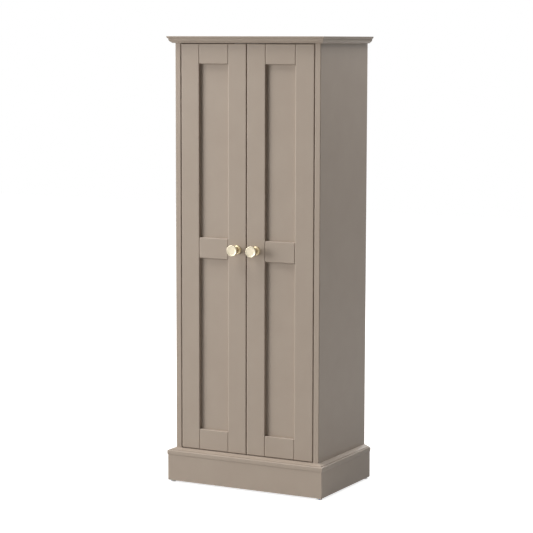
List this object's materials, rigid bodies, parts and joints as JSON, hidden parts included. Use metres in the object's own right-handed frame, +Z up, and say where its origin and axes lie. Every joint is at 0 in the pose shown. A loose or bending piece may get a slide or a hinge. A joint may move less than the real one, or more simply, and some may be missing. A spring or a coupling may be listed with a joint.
{
  "type": "bathroom cabinet",
  "caption": "Tall narrow freestanding cabinet with paired inset frame-and-panel doors, turned knobs, a moulded top board and plinth, and shelves inside for towels and toiletries.",
  "frame": {"origin": "on the floor, under the middle of the cabinet's outer box, knobs included", "axes": "+Z up, +X to the right seen from the front, -Y out of the doors towards the user"},
  "size_m": [0.434, 0.288, 1.115],
  "materials": {
    "painted_board": "satin paint on MDF",
    "hardboard": "smooth hardboard",
    "beech": "fluted dowel rod",
    "brass": "satin turned",
    "zinc": "die cast",
    "nickel_plated_steel": "nickel plated",
    "zinc_plated_steel": "bright zinc plated",
    "glide_plastic": "moulded",
    "catch_plastic": "moulded"
  },
  "bodies": {
    "carcass": {"back_panel": "hardboard", "back_panel_screws": "zinc_plated_steel", "base_back_rail": "painted_board", "base_front_rail": "painted_board", "bottom_panel": "painted_board", "cam_bolts": "zinc", "cam_locks": "zinc", "catch_housing": "catch_plastic", "catch_poles": "zinc_plated_steel", "dowels": "beech", "fixed_shelf": "painted_board", "foot_glides": "glide_plastic", "hardware_screws": "zinc_plated_steel", "hinge_clamp_screws": "zinc_plated_steel", "hinge_plates": "nickel_plated_steel", "left_lower_hinge_arm": "nickel_plated_steel", "left_side_panel": "painted_board", "left_upper_hinge_arm": "nickel_plated_steel", "lower_shelf": "painted_board", "plinth_front": "painted_board", "plinth_left": "painted_board", "plinth_moulding_front": "painted_board", "plinth_moulding_left": "painted_board", "plinth_moulding_right": "painted_board", "plinth_right": "painted_board", "right_lower_hinge_arm": "nickel_plated_steel", "right_side_panel": "painted_board", "right_upper_hinge_arm": "nickel_plated_steel", "shelf_pins": "zinc_plated_steel", "top_board": "painted_board", "upper_shelf": "painted_board", "wall_rail": "painted_board"},
    "left_door": {"left_door_bottom_rail": "painted_board", "left_door_hinge_pins": "nickel_plated_steel", "left_door_hinge_stile": "painted_board", "left_door_lower_hinge_cup": "nickel_plated_steel", "left_door_lower_panel": "painted_board", "left_door_meeting_stile": "painted_board", "left_door_middle_rail": "painted_board", "left_door_screws": "zinc_plated_steel", "left_door_top_rail": "painted_board", "left_door_upper_hinge_cup": "nickel_plated_steel", "left_door_upper_panel": "painted_board", "left_knob": "brass", "left_knob_screw": "zinc_plated_steel", "left_strike_plate": "zinc_plated_steel"},
    "right_door": {"right_door_bottom_rail": "painted_board", "right_door_hinge_pins": "nickel_plated_steel", "right_door_hinge_stile": "painted_board", "right_door_lower_hinge_cup": "nickel_plated_steel", "right_door_lower_panel": "painted_board", "right_door_meeting_stile": "painted_board", "right_door_middle_rail": "painted_board", "right_door_screws": "zinc_plated_steel", "right_door_top_rail": "painted_board", "right_door_upper_hinge_cup": "nickel_plated_steel", "right_door_upper_panel": "painted_board", "right_knob": "brass", "right_knob_screw": "zinc_plated_steel", "right_strike_plate": "zinc_plated_steel"}
  },
  "joints": [
    {"name": "left_door_hinge", "type": "hinge", "parent": "carcass", "child": "left_door", "pos_m": [-0.1687, -0.108, 0.593], "axis": [0, 0, -1], "range_deg": [0, 95]},
    {"name": "right_door_hinge", "type": "hinge", "parent": "carcass", "child": "right_door", "pos_m": [0.1687, -0.108, 0.593], "axis": [0, 0, 1], "range_deg": [0, 95]}
  ]
}
